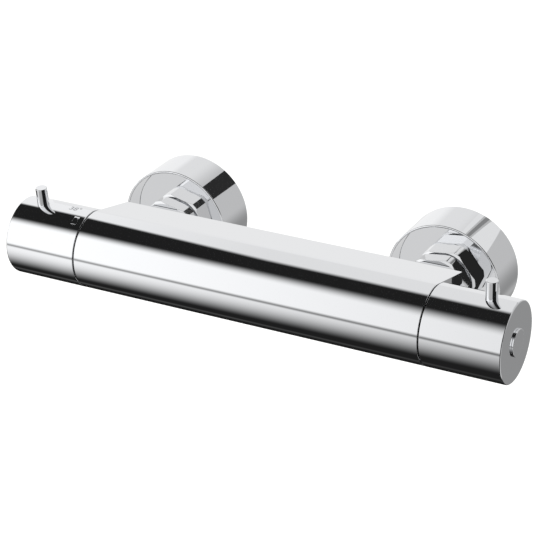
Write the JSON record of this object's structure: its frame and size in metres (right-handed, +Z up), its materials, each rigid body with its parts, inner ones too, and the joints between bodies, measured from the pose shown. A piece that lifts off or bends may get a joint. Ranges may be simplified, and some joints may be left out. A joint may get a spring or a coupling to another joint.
{
  "type": "thermostatic shower valve",
  "caption": "Wall-mounted thermostatic bar valve for a shower, polished chrome, with a temperature handle, a flow handle, lever pins and round wall covers.",
  "frame": {"origin": "on the wall's surface, midway between the axes of the two wall threads", "axes": "+X along the bar towards the flow handle, +Y into the wall, +Z up"},
  "size_m": [0.2693, 0.1, 0.0591],
  "materials": {
    "chrome": "polished chrome plate",
    "plated_brass": "chrome plate over turned brass",
    "brass": "turned brass",
    "copper": "drawn copper",
    "spring_steel": "bright stainless steel",
    "ceramic": "lapped alumina ceramic",
    "white_plastic": "moulded acetal",
    "dark_plastic": "moulded glass-filled nylon",
    "blue_plastic": "moulded acetal",
    "rubber": "moulded EPDM"
  },
  "bodies": {
    "fixed_parts": {"valve_body": "chrome", "stop_ring": "white_plastic", "cartridge_head": "brass", "retaining_nut": "brass", "cartridge_cage": "white_plastic", "cartridge_base": "white_plastic", "cartridge_seals": "rubber", "return_spring": "spring_steel", "flow_stop_ring": "white_plastic", "flow_housing": "brass", "flow_housing_seal": "rubber", "fixed_disc": "ceramic", "flow_seat_seal": "rubber", "left_cover": "chrome", "right_cover": "chrome", "left_wall_union": "plated_brass", "right_wall_union": "plated_brass", "left_union_nut": "plated_brass", "right_union_nut": "plated_brass", "left_inlet_tail": "brass", "right_inlet_tail": "brass", "left_gasket": "rubber", "right_gasket": "rubber", "inlet_strainers": "spring_steel", "left_check_housing": "white_plastic", "right_check_housing": "white_plastic", "left_check_spring": "spring_steel", "right_check_spring": "spring_steel", "outlet_nipple": "chrome", "outlet_seal": "rubber", "gallery_plug": "chrome"},
    "temperature_handle": {"temperature_knob": "chrome", "temperature_hub": "dark_plastic", "temperature_cap": "chrome", "temperature_screw": "spring_steel", "temperature_lever": "chrome", "safety_spring": "spring_steel", "adjusting_spindle": "brass", "spindle_seal": "rubber"},
    "button": {"safety_button": "chrome"},
    "mixing_shuttle": {"pressure_nut": "brass", "overload_spring": "spring_steel", "overload_cup": "spring_steel", "wax_element": "copper", "mixing_spool": "white_plastic", "spool_seal": "rubber"},
    "flow_handle": {"flow_knob": "chrome", "flow_hub": "dark_plastic", "flow_cap": "chrome", "flow_screw": "spring_steel", "flow_lever": "chrome", "flow_spindle": "brass", "flow_spindle_seal": "rubber", "moving_disc": "ceramic"},
    "left_check": {"left_check_poppet": "blue_plastic"},
    "right_check": {"right_check_poppet": "blue_plastic"}
  },
  "joints": [
    {"name": "temperature_turn", "type": "hinge", "parent": "fixed_parts", "child": "temperature_handle", "pos_m": [0, -0.066, 0], "axis": [-1, 0, 0], "range_deg": [-150, 60]},
    {"name": "button_press", "type": "slide", "parent": "temperature_handle", "child": "button", "axis": [0, 0.4226, -0.9063], "range_m": [0, 0.0012], "stiffness_N_per_m": 300, "springref_m": -0.001, "deforming": ["safety_spring"]},
    {"name": "mixing_shift", "type": "slide", "parent": "fixed_parts", "child": "mixing_shuttle", "axis": [1, 0, 0], "range_m": [-0.00064, 0.00027], "deforming": ["return_spring"]},
    {"name": "flow_turn", "type": "hinge", "parent": "fixed_parts", "child": "flow_handle", "pos_m": [0, -0.066, 0], "axis": [1, 0, 0], "range_deg": [0, 90]},
    {"name": "left_check_lift", "type": "slide", "parent": "fixed_parts", "child": "left_check", "axis": [0, -1, 0], "range_m": [0, 0.003], "stiffness_N_per_m": 60, "springref_m": -0.003, "deforming": ["left_check_spring"]},
    {"name": "right_check_lift", "type": "slide", "parent": "fixed_parts", "child": "right_check", "axis": [0, -1, 0], "range_m": [0, 0.003], "stiffness_N_per_m": 60, "springref_m": -0.003, "deforming": ["right_check_spring"]}
  ],
  "couplings": [
    {"joint": "mixing_shift", "follows": "temperature_turn", "m_per_rad": 0.00023873}
  ]
}
